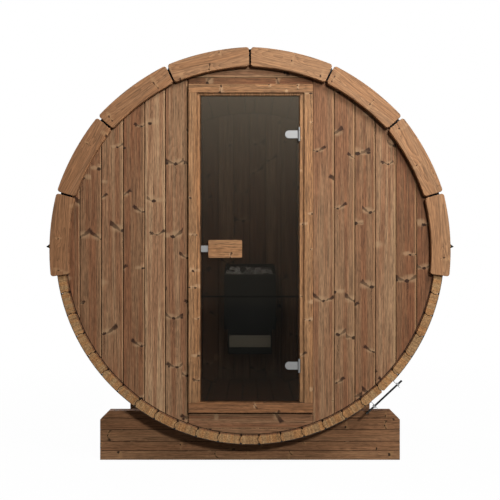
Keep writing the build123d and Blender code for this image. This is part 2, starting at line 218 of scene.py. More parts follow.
def buildGrain(tree):  # inside it every length is in mm, u across the board and v along it, moved on by the seed
    feed = wire(tree, "NodeGroupInput").outputs
    u = wire(tree, "Math MULTIPLY_ADD", feed["Across"], 1000, wire(tree, "Math MULTIPLY", feed["Seed"], 137.3))
    v = wire(tree, "Math MULTIPLY_ADD", feed["Along"], 1000, wire(tree, "Math MULTIPLY", feed["Seed"], 911.7))

    def scaled(wide, long, *seed):
        across, along = wire(tree, "Math DIVIDE", u, wide), wire(tree, "Math DIVIDE", v, long)
        return wire(tree, "CombineXYZ", across, along, *seed)

    cell = scaled(feed["KnotAcross"], feed["KnotAlong"])
    whorl = wire(tree, "TexVoronoi", cell, voronoi_dimensions="2D",
                 named={"Scale": 1, "Randomness": knots["spread"]})
    fromKnot = wire(tree, "VectorMath SUBTRACT", cell, whorl.outputs["Position"])
    offset = wire(tree, "SeparateXYZ", fromKnot).outputs
    first, again, size = wire(tree, "SeparateColor", whorl.outputs["Color"]).outputs  # a knot's random draws
    second = wire(tree, "Math FRACT", wire(tree, "Math MULTIPLY", first, 19.7))
    third = wire(tree, "Math FRACT", wire(tree, "Math MULTIPLY", again, 23.1))
    mirror = wire(tree, "Math MULTIPLY_ADD", wire(tree, "Math GREATER_THAN", again, 0.5), 2, -1)
    sized = wire(tree, "Math MULTIPLY_ADD", size, knots["sizeRange"], knots["smallest"])
    sized = wire(tree, "Math MULTIPLY", sized, feed["KnotSize"])
    raggedPlace = scaled(knots["raggedSize"], knots["raggedSize"], feed["Seed"])
    ragged = wire(tree, "TexNoise", raggedPlace, named={"Scale": 1, "Detail": 2})  # breaks the round outlines
    shift = [wire(tree, "Math MULTIPLY_ADD", channel, knots["ragged"], -knots["ragged"] / 2)
             for channel in wire(tree, "SeparateColor", ragged.outputs["Color"]).outputs[:2]]
    du = wire(tree, "Math MULTIPLY_ADD", offset[0], feed["KnotAcross"], shift[0])
    du = wire(tree, "Math DIVIDE", wire(tree, "Math MULTIPLY", du, mirror), sized)
    dv = wire(tree, "Math MULTIPLY_ADD", offset[1], feed["KnotAlong"], shift[1])
    dv = wire(tree, "Math DIVIDE", dv, sized)
    present = wire(tree, "Math LESS_THAN", first, feed["KnotShare"])

    def oval(mark):
        x, y, wide, high, edge, core = knots[mark]
        across = wire(tree, "Math DIVIDE", wire(tree, "Math SUBTRACT", du, x), wide)
        along = wire(tree, "Math DIVIDE", wire(tree, "Math SUBTRACT", dv, y), high)
        reach = wire(tree, "VectorMath LENGTH", wire(tree, "CombineXYZ", across, along))
        return wire(tree, "MapRange SMOOTHSTEP", reach, edge, core, 0, 1)

    def wing(mark):  # a branch cut lengthwise: it widens and darkens away from the knot
        side, start, length, lean = knots[mark]
        turn = radians(lean)
        beside = wire(tree, "Math MULTIPLY_ADD", du, side, -start)
        t = wire(tree, "Math MULTIPLY_ADD", beside, cos(turn), wire(tree, "Math MULTIPLY", dv, sin(turn)))
        s = wire(tree, "Math MULTIPLY_ADD", beside, -sin(turn), wire(tree, "Math MULTIPLY", dv, cos(turn)))
        taper = wire(tree, "Math MULTIPLY_ADD", t, knots["wingSpread"], knots["wingRoot"])
        taper = wire(tree, "Math MAXIMUM", taper, knots["wingLeast"])
        inside = wire(tree, "Math DIVIDE", wire(tree, "Math ABSOLUTE", s), taper)
        inside = wire(tree, "MapRange SMOOTHSTEP", inside, 1.3, 0.6, 0, 1)
        begin = wire(tree, "MapRange", t, -1, 3, 0, 1)
        end = wire(tree, "MapRange", t, length, length - 6, 0, 1)
        deepen = wire(tree, "MapRange", t, 0, length - 8, knots["wingPale"], 1)
        return wire(tree, "Math MULTIPLY", wire(tree, "Math MULTIPLY", inside, begin),
                    wire(tree, "Math MULTIPLY", end, deepen))

    def whenOver(draw, limit, mark):  # keeps a mark only at knots whose random draw passes a limit
        chosen = wire(tree, "Math GREATER_THAN", draw, limit)
        return wire(tree, "Math MULTIPLY", chosen, mark)

    def darker(one, other):
        return wire(tree, "Math MAXIMUM", one, other)

    # small knots are mostly plain dots
    plain = wire(tree, "Math MULTIPLY_ADD", feed["KnotSize"], knots["plainSlope"], knots["plainStart"])
    wings = darker(wing("rightWing"), whenOver(third, knots["leftWingAbove"], wing("leftWing")))
    pair = darker(oval("twin"), wire(tree, "Math MULTIPLY", oval("bridge"), knots["bridgeShade"]))
    crack = wire(tree, "Math MULTIPLY", oval("crack"), knots["crackShade"])
    marks = darker(darker(oval("pin"), whenOver(second, plain, wings)),
                   darker(whenOver(third, knots["twinAbove"], pair),
                          whenOver(second, knots["crackAbove"], crack)))
    knot = wire(tree, "Math MULTIPLY", marks, present)
    halo = wire(tree, "Math MULTIPLY", darker(oval("rightHalo"), oval("leftHalo")), present)
    swell = wire(tree, "Math MULTIPLY", oval("swell"), present)

    def stretched(name):
        wide, long, detail = noise[name]
        place = scaled(wide, long, feed["Seed"])
        return wire(tree, "TexNoise", place, named={"Scale": 1, "Detail": detail, "Roughness": 0.5})

    field = wire(tree, "Math MULTIPLY_ADD", stretched("ringWave"), feed["RingCount"],
                 wire(tree, "Math MULTIPLY", swell, knots["swellRings"]))
    rings = wire(tree, "Math POWER", wire(tree, "Math FRACT", field), noise["ringSharpness"])
    fibres = wire(tree, "Math MULTIPLY_ADD", stretched("longFibre"), noise["longShare"],
                  wire(tree, "Math MULTIPLY", stretched("shortFibre"), noise["shortShare"]))
    band = wire(tree, "MapRange SMOOTHSTEP", stretched("band"), 0.36, 0.64, 0, 1)
    streak = wire(tree, "MapRange SMOOTHSTEP", stretched("streak"), 0.6, 0.76, 0, 1)
    wire(tree, "NodeGroupOutput", rings, fibres, band, streak, knot, halo)


buildGrain(grain)
print("grain group:", len(grain.nodes), "nodes")


def objectPoint(tree):
    return wire(tree, "TexCoord").outputs["Object"]


def objectPlace(tree):  # where a point lies on the object
    return wire(tree, "SeparateXYZ", objectPoint(tree)).outputs


def overAxis(tree, height):  # where a point lies, and its rise over a level axis along y
    here = objectPlace(tree)
    return here, wire(tree, "Math SUBTRACT", here["Z"], height)


def axisDistance(tree, here, rise):
    return wire(tree, "VectorMath LENGTH", wire(tree, "CombineXYZ", here["X"], rise))


def boardMarks(tree):  # the number and the tone that each board carries
    return [wire(tree, "Attribute", attribute_name=name).outputs["Fac"] for name in ("board", "tone")]


def boardPlace(tree, along):  # a straight board with its grain along X, Y or Z
    here = objectPlace(tree)
    return here["Z" if along == "X" else "X"], here[along], *boardMarks(tree)


def stavePlace(tree):  # staves lie along y, side by side round the barrel
    here, rise = overAxis(tree, axisHeight)
    angle = wire(tree, "Math ARCTAN2", here["X"], rise)
    return wire(tree, "Math MULTIPLY", angle, barrelRadius), here["Y"], *boardMarks(tree)


# the fascia's boards: degrees of the ring to each, and their tones, darker towards the foot on the left
fasciaBoards = dict(step=24.6, ownTone=0.25, darkest=-3, darkTone=0.13, middle=0, middleTone=0.5)


def fasciaPlace(tree):  # straight boards cut to a ring, so that the grain of each runs straight
    here, rise = overAxis(tree, fasciaHeight)
    step = radians(fasciaBoards["step"])
    angle = wire(tree, "Math ARCTAN2", here["X"], rise)
    number = wire(tree, "Math FLOOR", wire(tree, "Math DIVIDE", angle, step))
    seed = wire(tree, "Math MULTIPLY_ADD", number, 3.7, 20)
    own = wire(tree, "TexWhiteNoise", None, seed, noise_dimensions="1D").outputs["Value"]
    side = wire(tree, "MapRange", number, fasciaBoards["darkest"], fasciaBoards["middle"],
                fasciaBoards["darkTone"], fasciaBoards["middleTone"])
    tone = wire(tree, "Math MULTIPLY_ADD", own, fasciaBoards["ownTone"], side)
    middle = wire(tree, "Math MULTIPLY", wire(tree, "Math ADD", number, 0.5), step)
    lean = wire(tree, "Math SUBTRACT", angle, middle)
    distance = axisDistance(tree, here, rise)
    across = wire(tree, "Math MULTIPLY", distance, wire(tree, "Math COSINE", lean))
    along = wire(tree, "Math MULTIPLY", distance, wire(tree, "Math SINE", lean))
    return across, along, seed, tone


def addSkin(tree, colour, height, strength, depth, roughness, metallic=0, specular=0.5):
    bump = wire(tree, "Bump", named={"Height": height, "Strength": strength, "Distance": depth})
    skin = wire(tree, "BsdfPrincipled", named={"Base Color": colour, "Normal": bump, "Roughness": roughness,
                                               "Metallic": metallic, "Specular IOR Level": specular})
    wire(tree, "OutputMaterial", skin)


boardSkin = dict(knotShare=0.92, ringLift=0.35, ringRelief=0.5, bump=0.35, bumpDepth=0.0006, roughSpread=0.06)


def woodMaterial(name, wood, place, *along):
    material, tree = emptyMaterial("thermoPine" + name)
    across, lengthwise, seed, tone = place(tree, *along)
    out = wire(tree, "Group", across, lengthwise, seed, wood["rings"], *wood["knots"], node_tree=grain).outputs
    plain = wire(tree, "Mix RGBA", tone, wood["dark"], wood["light"])
    share = wire(tree, "Math MULTIPLY", out["Band"], wood["band"])
    banded = wire(tree, "Mix RGBA", share, plain, wood["warm"])
    lifted = 1 + wood["ringDepth"] * boardSkin["ringLift"]
    ringShade = wire(tree, "Math MULTIPLY_ADD", out["Rings"], -wood["ringDepth"], lifted)
    depth = wood["fibreDepth"]
    fibreShade = wire(tree, "MapRange", out["Fibres"], 0.35, 0.65, 1 - depth, 1 + depth)
    shade = wire(tree, "Math MULTIPLY", ringShade, fibreShade)
    colour = wire(tree, "VectorMath SCALE", banded, named={"Scale": shade})
    amounts = wood["streak"], wood["halo"], boardSkin["knotShare"]
    for mark, amount, stain in zip(("Streak", "Halo", "Knot"), amounts, ("knot", "glow", "knot")):
        share = wire(tree, "Math MULTIPLY", out[mark], amount)
        colour = wire(tree, "Mix RGBA", share, colour, wood[stain])
    relief = wire(tree, "Math MULTIPLY_ADD", out["Rings"], boardSkin["ringRelief"], out["Fibres"])
    spread = boardSkin["roughSpread"]
    rough = wire(tree, "MapRange", out["Fibres"], 0.3, 0.7, wood["rough"] - spread, wood["rough"] + spread)
    addSkin(tree, colour, relief, boardSkin["bump"], boardSkin["bumpDepth"], rough, specular=0.15)
    return material


# thermally modified pine: baked brown right through and planed smooth, so it is matt with darker knots
# knots here: the room of each across and along a board in mm, its size, and the share of rooms with one
wallWood = dict(dark="#6e4a31", light="#ac8a68", warm="#7b4c32", knot="#24110a", glow="#bb9a75", rings=30,
                ringDepth=0.23, fibreDepth=0.5, band=0.6, streak=0.45, halo=0.45, rough=0.68,
                knots=(112, 330, 1.8, 0.72))
# painted highlight: a paler copy of the wall wood, for the bevel that faces the light
highlightWood = dict(wallWood, dark="#8e6a4b", light="#b5946f", warm="#a07856", ringDepth=0.1, fibreDepth=0.2,
                streak=0.3)
jointWood = dict(wallWood, dark="#4b3323", light="#5c4130", warm="#513624")
staveWood = dict(wallWood, dark="#7a563b", light="#9a7553", knots=(130, 420, 1.5, 0.7))
floorWood = dict(wallWood, light="#8f6b4c")
trimWood = dict(dark="#99724f", light="#b08965", warm="#9f6e47", knot="#2b1409", glow="#cfab84", rings=26,
                ringDepth=0.28, fibreDepth=0.6, band=0.5, streak=0.5, halo=0.5, rough=0.62,
                knots=(76, 170, 1.1, 0.75))
headWood = dict(trimWood, dark="#916b4a", light="#a67f5e")
sillWood = dict(trimWood, dark="#845c3e", warm="#865a38")
fasciaWood = dict(dark="#80583c", light="#ad845f", warm="#94643f", knot="#3a1f0d", glow="#c0966c", rings=20,
                  ringDepth=0.4, fibreDepth=0.34, band=0.35, streak=0.2, halo=0.35, rough=0.6,
                  knots=(70, 260, 1.0, 0.75))
cradleWood = dict(dark="#845c3f", light="#997453", warm="#8d6243", knot="#140c07", glow="#ab8259", rings=22,
                  ringDepth=0.26, fibreDepth=0.46, band=0.5, streak=0.4, halo=0.5, rough=0.7,
                  knots=(62, 230, 1.25, 0.6))
endWood = dict(dark="#8e6d4b", light="#b18d63", warm="#a67142", knot="#4b2f1a", glow="#a98355", rings=60,
               ringDepth=0.32, fibreDepth=0.3, band=0.6, streak=0.1, halo=0, rough=0.75,
               knots=(90, 300, 0.4, 0.0))
# painted shade: dark bands where shade falls; for each, where it starts and is full, from the edge it lies
# along, and the share of colour it leaves
shadeSeams = dict(rim=(-0.0495, -0.0465, 0.12), sill=(0.0025, 0.001, 0.25), stop=(0.003, 0.0015, 0.6),
             lowerBoards=(-0.003, -0.001, 0.2), shadedFoot=(0.75, 0.35, 0.85))


def woodOf(material):  # its tree, its skin, and the colour that reaches the skin
    tree = material.node_tree
    skin = next(node for node in tree.nodes if node.type == "BSDF_PRINCIPLED")
    return tree, skin, skin.inputs["Base Color"].links[0].from_socket


# paints shade: the colour falls to a share of itself near an edge
def paintShade(material, place, edge, seam):
    start, full, share = shadeSeams[seam]
    tree, skin, wood = woodOf(material)
    shade = wire(tree, "MapRange", place, edge + start, edge + full, 1, share)
    shaded = wire(tree, "VectorMath SCALE", wood, named={"Scale": shade})
    tree.links.new(shaded.outputs["Vector"], skin.inputs["Base Color"])


def paintRimShade(material):  # painted shade: a dark seam on the wall boards where they meet the staves
    tree = material.node_tree
    paintShade(material, axisDistance(tree, *overAxis(tree, axisHeight)), barrelRadius, "rim")


def paintShadeAlong(material, axis, edge, seam):
    paintShade(material, objectPlace(material.node_tree)[axis], edge, seam)


verticalWall = woodMaterial("WallBoard", wallWood, boardPlace, "Z")
verticalHighlight = woodMaterial("BoardHighlight", highlightWood, boardPlace, "Z")
levelWall = woodMaterial("LevelBoard", wallWood, boardPlace, "X")
levelHighlight = woodMaterial("LevelHighlight", highlightWood, boardPlace, "X")
lowerWall = woodMaterial("LowerBoard", wallWood, boardPlace, "X")
lowerHighlight = woodMaterial("LowerHighlight", highlightWood, boardPlace, "X")
# painted shade along the wall boards' rim, next to the staves
for material in (verticalWall, verticalHighlight, levelWall, levelHighlight, lowerWall, lowerHighlight):
    paintRimShade(material)
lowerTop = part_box("front_wall_lower")[1].z - sillGap
# painted shadow under the sill, on the top of the lower boards
for material in (lowerWall, lowerHighlight):
    paintShadeAlong(material, "Z", lowerTop, "lowerBoards")
# painted shade: the dark joint colour on the steep bevel that faces away from the light
jointShade = woodMaterial("Joint", jointWood, boardPlace, "Z")
paleJoint = woodMaterial("PaleJoint", dict(jointWood, dark="#8b684b", light="#9a765a"), boardPlace, "Z")
# painted shade in the grooves between the cradle's planks
cradleGrooveShade = woodMaterial("CradleGrooveShade", dict(jointWood, dark="#5e432f", light="#6f5139"), boardPlace, "X")
# painted shade on the staves' sides, in the gaps between them
staveGapShade = woodMaterial("StaveGapShade", dict(jointWood, dark="#35231a", light="#3d291d"), stavePlace)
trimUpright = woodMaterial("UprightTrim", trimWood, boardPlace, "Z")
trimLevel = woodMaterial("LevelTrim", trimWood, boardPlace, "X")
headBoard = woodMaterial("Head", headWood, boardPlace, "X")
sillBoard = woodMaterial("Sill", sillWood, boardPlace, "X")
# painted shade along the sill's lower edge
paintShadeAlong(sillBoard, "Z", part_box("door_sill")[0].z, "sill")
stopBoard = woodMaterial("Stop", trimWood, boardPlace, "Z")
# painted shade along the left stop's outer edge, in the corner against the upright
paintShadeAlong(stopBoard, "X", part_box("door_stops")[0].x, "stop")
for material in (trimUpright, stopBoard):  # painted shade: the wood is darker towards the foot of the uprights and stops, where less light falls
    paintShadeAlong(material, "Z", 0, "shadedFoot")
floorBoard = woodMaterial("FloorBoard", floorWood, boardPlace, "Y")
cradleBoard = woodMaterial("CradleBoard", cradleWood, boardPlace, "X")
staveBoard = woodMaterial("Stave", staveWood, stavePlace)
fasciaBoard = woodMaterial("FasciaBoard", fasciaWood, fasciaPlace)


def buildStaveEnd():  # end grain: short curved rings and speckle, with painted shade where the fascia covers it, black as seen in the gaps between the fascia's boards
    ends = dict(coveredDegrees=97.6, coveredShade="#0d0b0a", speckles=160, darkest=0.58, brightest=1.4)
    material = woodMaterial("EndGrain", endWood, stavePlace)
    tree, skin, grained = woodOf(material)
    here, rise = overAxis(tree, axisHeight)
    angle = wire(tree, "Math ABSOLUTE", wire(tree, "Math ARCTAN2", here["X"], rise))
    covered = wire(tree, "Math LESS_THAN", angle, radians(ends["coveredDegrees"]))
    speckle = wire(tree, "TexNoise", objectPoint(tree), named={"Scale": ends["speckles"], "Detail": 3})
    shade = wire(tree, "MapRange", speckle, 0.3, 0.7, ends["darkest"], ends["brightest"])
    speckled = wire(tree, "VectorMath SCALE", grained, named={"Scale": shade})
    # painted shade: black where the fascia covers the ends
    shadedUnderFascia = wire(tree, "Mix RGBA", covered, speckled, ends["coveredShade"])
    tree.links.new(shadedUnderFascia.outputs[2], skin.inputs["Base Color"])
    return material


staveEnd = buildStaveEnd()
print("woods made")


def plainMaterial(name, build, dark, light, roughness, **values):  # build makes its colour, relief and depth
    material, tree = emptyMaterial(name)
    colour, height, depth = build(tree, dark, light)
    addSkin(tree, colour, height, 0.5, depth, roughness, **values)
    return material


def brushedSteel(tree, dark, light):  # stainless strip, brushed along its length: fine lines of about 1 mm
    brushed = wire(tree, "Mapping", objectPoint(tree), named={"Scale": (900, 40, 900)})
    lines = wire(tree, "TexNoise", brushed, named={"Scale": 1, "Detail": 2})
    return wire(tree, "Mix RGBA", lines, dark, light), lines, 0.0001


rods = dict(slant=46.9, nutFromMiddle=0.0835, nutHalf=0.0045, pitch=0.0015, nut="#9b9b9a")


def rodSteel(tree, dark, light):  # an oiled rod with a thread of 1.5 mm pitch and zinc-plated nuts
    here, rise = overAxis(tree, axisHeight)
    slant = radians(rods["slant"])
    upward = wire(tree, "Math MULTIPLY", rise, cos(slant))
    along = wire(tree, "Math MULTIPLY_ADD", here["X"], sin(slant), upward)
    fromMiddle = wire(tree, "Math ABSOLUTE", along)
    fromNut = wire(tree, "Math ABSOLUTE", wire(tree, "Math SUBTRACT", fromMiddle, rods["nutFromMiddle"]))
    nut = wire(tree, "Math LESS_THAN", fromNut, rods["nutHalf"])
    thread = wire(tree, "Math SINE", wire(tree, "Math MULTIPLY", along, 2 * pi / rods["pitch"]))
    ridge = wire(tree, "Math MULTIPLY", wire(tree, "Math SUBTRACT", 1, nut), thread)
    blotch = wire(tree, "TexNoise", objectPoint(tree), named={"Scale": 400, "Detail": 3})
    rod = wire(tree, "Mix RGBA", blotch, dark, light)
    return wire(tree, "Mix RGBA", nut, rod, rods["nut"]), ridge, 0.0003


straps = dict(spangles=120, lugFrom=0.006, lugDark="#6d6d6e", lugLight="#8b8b8b")


def bandSteel(tree, dark, light):  # the strap is dark grey, and its lugs outside the barrel are paler
    reach = axisDistance(tree, *overAxis(tree, axisHeight))
    spangle = wire(tree, "TexVoronoi", objectPoint(tree), named={"Scale": straps["spangles"]})
    pale = wire(tree, "SeparateColor", spangle.outputs["Color"]).outputs[0]
    strap = wire(tree, "Mix RGBA", pale, dark, light)
    lug = wire(tree, "Mix RGBA", pale, straps["lugDark"], straps["lugLight"])
    outside = wire(tree, "Math GREATER_THAN", reach, barrelRadius + straps["lugFrom"])
    return wire(tree, "Mix RGBA", outside, strap, lug), pale, 0.0001


def peelCoat(tree, dark, light):  # powder-coated sheet: a fine orange peel of about 2 mm
    peel = wire(tree, "TexNoise", objectPoint(tree), named={"Scale": 500, "Detail": 2})
    return wire(tree, "Mix RGBA", peel, dark, light), peel, 0.0002


rimHighlight = dict(colour="#6a665a", full=0.004, gone=0.009, frontFull=0.006, frontGone=0.012)


def highlightedRimCoat(tree, dark, light):  # the same coat, with a painted highlight along the tray's front rim
    coat, peel, distance = peelCoat(tree, dark, light)
    here = objectPlace(tree)
    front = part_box("heater_body")[0].y
    below = wire(tree, "Math SUBTRACT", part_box("heater_stones")[0].z + stoneTrayDepth, here["Z"])
    # painted highlight: paler along the rim's front edge
    rim = wire(tree, "MapRange", below, rimHighlight["full"], rimHighlight["gone"], 1, 0)
    face = wire(tree, "MapRange", here["Y"], front + rimHighlight["frontFull"], front + rimHighlight["frontGone"], 1, 0)
    highlight = wire(tree, "Math MULTIPLY", rim, face)
    return wire(tree, "Mix RGBA", highlight, coat, rimHighlight["colour"]), peel, distance


def rock(tree, dark, light):  # olivine stones: grey with paler faces, each stone its own tone
    mottle = wire(tree, "TexNoise", objectPoint(tree), named={"Scale": 90, "Detail": 5, "Roughness": 0.65})
    base = wire(tree, "Mix RGBA", boardMarks(tree)[1], dark, light)
    shade = wire(tree, "MapRange", mottle, 0.35, 0.65, 0.4, 1.4)
    return wire(tree, "VectorMath SCALE", base, named={"Scale": shade}), mottle, 0.003


def mineralFelt(tree, dark, light):  # bitumen shingle with slate granules of about 2 mm
    here = objectPoint(tree)
    grit = wire(tree, "TexVoronoi", here, named={"Scale": 450, "Randomness": 1})
    cloud = wire(tree, "TexNoise", here, named={"Scale": 9, "Detail": 3})
    pale = wire(tree, "SeparateColor", grit.outputs["Color"]).outputs[0]
    base = wire(tree, "Mix RGBA", pale, dark, light)
    shade = wire(tree, "Math MULTIPLY", wire(tree, "MapRange", cloud, 0.3, 0.7, 0.8, 1.2),
                 wire(tree, "MapRange", boardMarks(tree)[1], 0, 1, 0.8, 1.2))
    return wire(tree, "VectorMath SCALE", base, named={"Scale": shade}), grit.outputs["Distance"], 0.001


satinSteel = plainMaterial("satinStainless", brushedSteel, "#626261", "#7c7c7b", 0.5, metallic=0.9)
threadSteel = plainMaterial("threadedRodSteel", rodSteel, "#131312", "#2a2927", 0.42, metallic=0.85)
strapSteel = plainMaterial("galvanisedStrap", bandSteel, "#343332", "#4a4948", 0.55, metallic=0.85)
rimHighlightCoat = plainMaterial("rimHighlightPowderCoat", highlightedRimCoat, "#15160c", "#202116", 0.5, specular=0.3)
heaterCoat = plainMaterial("blackPowderCoat", peelCoat, "#15160c", "#202116", 0.5, specular=0.3)
blackEdge = plainMaterial("blackEdgeSheet", peelCoat, "#15160c", "#202116", 0.6, specular=0.15)
panelCoat = plainMaterial("greyPanelCoat", peelCoat, "#b0a68a", "#bcb39c", 0.45, specular=0.4)
stone = plainMaterial("olivineStone", rock, "#453d35", "#f4ede0", 0.85)
felt = plainMaterial("mineralFelt", mineralFelt, "#232323", "#4b4a49", 0.9, specular=0.2)


glassSheet = dict(reflectionTint="#5d5549", deep="#0a0a08", cover=0.58, roughness=0.05, specular=0.045, bottom=0.95,
                  top=1.95, curve=2.2, footTop=0.6, footBottom=0.45, foot=0.075, line=0.889, lineHalf=0.002,
                  lineFade=0.006, lineShare=0.25, paleFrom=0.075, paleTo=0.01, pale=0.08)


def buildGlass(sheet):  # grey-smoked safety glass: see-through but dark, with a painted reflection that pales it towards its top
    material, tree = emptyMaterial("smokedGlass")
    height = objectPlace(tree)["Z"]
    rise = wire(tree, "MapRange", height, sheet["bottom"], sheet["top"], 0, 1)
    above = wire(tree, "Math SUBTRACT", height, sheet["line"])  # painted reflection: a thin dark line, and paler glass above it
    pale = wire(tree, "MapRange", above, -sheet["paleFrom"], -sheet["paleTo"], 0, sheet["pale"])
    # painted reflection: a little paler at the foot too
    foot = wire(tree, "MapRange", height, sheet["footTop"], sheet["footBottom"], 0, sheet["foot"])
    reflectionShare = wire(tree, "Math ADD", wire(tree, "Math POWER", rise, sheet["curve"]), pale)
    reflectionShare = wire(tree, "Math ADD", reflectionShare, foot)
    away = wire(tree, "Math ABSOLUTE", above)
    clear = wire(tree, "MapRange", away, sheet["lineHalf"], sheet["lineFade"], sheet["lineShare"], 1)
    tint = wire(tree, "Mix RGBA", wire(tree, "Math MULTIPLY", reflectionShare, clear), sheet["deep"], sheet["reflectionTint"])
    cover = wire(tree, "MapRange", clear, 0, 1, 1, sheet["cover"])
    skin = wire(tree, "BsdfPrincipled", named={"Base Color": tint, "Roughness": sheet["roughness"],
                                               "Alpha": cover, "Specular IOR Level": sheet["specular"]})
    wire(tree, "OutputMaterial", skin)
    return material


glass = buildGlass(glassSheet)
print("finishes made")

# barrel staves: bead-and-cove planks round the axis

staveRing = dict(pitch=6.742, bottomHalf=2.7308, thickness=0.042, gap=0.0032, bead=0.0065, corner=0.0065,
                 innerCorner=0.0035, steps=8, leastTop=0.15, endGroup=3, sideGroup=5, tones=(0.3, 0.7), seed=7)


def staveOutline(halfAngle):
    outer = barrelRadius * cos(radians(halfAngle))
    inner = outer - staveRing["thickness"]
    slope = tan(radians(halfAngle))
    low, high = inner + staveRing["innerCorner"], outer - staveRing["corner"]
    side = [(inner, staveRing["innerCorner"])]
    side += [(low + (high - low) * i / staveRing["steps"], 0) for i in range(staveRing["steps"] + 1)]
    side.append((outer, staveRing["corner"]))
    right, left = [], []
    for height, inset in side:
        share = min(max((height - low) / (high - low), 0), 1)
        bulge = staveRing["bead"] * sin(pi * share)
        half = height * slope - staveRing["gap"] / 2 - inset
        right.append(Vector((half + bulge, frontEnd, height)))
        left.append(Vector((-half + bulge, frontEnd, height)))
    return right + left[::-1]


def makeStave(half):  # one stave at the top of the ring
    stave = extrudeOutline("stave", staveOutline(half), (0, barrelLength, 0), staveBoard, staveEnd, staveGapShade)
    for face in stave.data.polygons:
        face.material_index = 1 if abs(face.normal.y) > 0.9 else 2 if abs(face.normal.x) > 0.5 else 0
    return stave


def layStaves(name, node, firstNumber, places):  # places are pairs of a pattern and its angle from the top
    staves = []
    for k, (pattern, angle) in enumerate(places):
        turn = Matrix.Translation((0, 0, axisHeight)) @ Matrix.Rotation(radians(angle), 4, "Y")
        stave = copyPiece(pattern, turn)
        markBoard(stave, firstNumber + k, staveTones.uniform(*staveRing["tones"]))
        staves.append(stave)
    group = joinPieces(name, staves)
    smooth(group, 25)
    finishPiece(group, "wood_stave", [node])


staveTones = random.Random(staveRing["seed"])
sweep = 180 - staveRing["bottomHalf"]
fullCount = int(sweep / staveRing["pitch"] - staveRing["leastTop"])
bottomStave, topStave = makeStave(staveRing["bottomHalf"]), makeStave(sweep - fullCount * staveRing["pitch"])
fullStave = makeStave(staveRing["pitch"] / 2)
sideAngles = [sweep - (k + 0.5) * staveRing["pitch"] for k in range(fullCount)]
endGroup = staveRing["endGroup"]
lowest = [(fullStave, side * angle) for angle in sideAngles[:endGroup] for side in (1, -1)]
highest = [(fullStave, side * angle) for angle in sideAngles[-endGroup:] for side in (1, -1)]
layStaves("bottomStaves", "staves_bottom", 1, [(bottomStave, 180)] + lowest)
layStaves("topStaves", "staves_top", 11, [(topStave, 0)] + highest)
for group in range(4):
    start = endGroup + group * staveRing["sideGroup"]
    angles = sideAngles[start:start + staveRing["sideGroup"]]
    for side, sign, firstNumber in (("right", 1, 21), ("left", -1, 51)):
        layStaves(f"{side}Staves{group + 1}", f"staves_{side}_{group + 1}", firstNumber + 5 * group,
                  [(fullStave, sign * angle) for angle in angles])
for pattern in (bottomStave, topStave, fullStave):
    bpy.data.objects.remove(pattern)
print("staves made")

# end walls: tongued boards with a V joint, cut to the barrel's inside

# bevels of the outer face: width and depth of the wide one, then of the steep one at the other edge
wallBoards = dict(bevel=(0.0085, 0.004, 0.0035, 0.005), narrowBevel=(0.005, 0.004, 0.0035, 0.005),
                  levelBevel=(0.005, 0.0018, 0.0015, 0.004), innerBevel=(0.004, 0.003), gap=0.002,
                  tongue=0.008, tongueDepth=0.008, grooveSlack=0.0005)


def boardOutline(width, front, thickness, bevel):  # across and y, the outer face at front
    slope, drop, steep, steepDrop = bevel
    small, smallDrop = wallBoards["innerBevel"]
    half = (width - wallBoards["gap"]) / 2
    back = front + thickness
    middle = (front + back) / 2
    tongue, reach, slack = wallBoards["tongueDepth"] / 2, wallBoards["tongue"], wallBoards["grooveSlack"]
    return [(-half, front + steepDrop), (-half + steep, front), (half - slope, front), (half, front + drop),
            (half, middle - tongue), (half + reach, middle - tongue),
            (half + reach, middle + tongue), (half, middle + tongue),
            (half, back - smallDrop), (half - small, back), (-half + small, back), (-half, back - smallDrop),
            (-half, middle + tongue + slack), (-half + reach, middle + tongue + slack),
            (-half + reach, middle - tongue - slack), (-half, middle - tongue - slack)]


def makeWall(name, node, joints, tones, firstNumber, bevel, skins, level=False, outward=-1):
    low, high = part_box(node)  # joints are the boards' edges, low to high, and outward is the outer face's side
    boards = []
    for k, (start, stop) in enumerate(zip(joints[:-1], joints[1:])):
        outline = boardOutline(stop - start, low.y, high.y - low.y, wallBoards[bevel])
        if level:  # the wide bevel lies along the lower edge
            outline = [(-across, y) for across, y in reversed(outline)]
        if outward > 0:
            outline = [(-across, low.y + high.y - y) for across, y in outline]
        centre = (start + stop) / 2
        if level:
            points = [Vector((low.x - spare, y, centre + across)) for across, y in outline]
            board = extrudeOutline("board", points, (high.x - low.x + 2 * spare, 0, 0), *skins)
        else:
            points = [Vector((centre + across, y, low.z - spare)) for across, y in outline]
            board = extrudeOutline("board", points, (0, 0, high.z - low.z + 2 * spare), *skins)
        for face in board.data.polygons:  # skins are for the face, the wide bevel, which takes the painted highlight, and the steep one, which on the left and rear walls takes painted shade
            lean = -face.normal.z if level else face.normal.x * -outward
            out = face.normal.y * outward
            face.material_index = 1 if out > 0.3 and lean > 0.25 else 2 if lean < -0.25 else 0
        markBoard(board, firstNumber + k, tones[k])
        boards.append(board)
    wall = joinPieces(name, boards)
    keepInside(wall, node)
    finishPiece(wall, "wood_wall", [node])


def evenJoints(start, pitch, count):
    return [start + pitch * k for k in range(count + 1)]


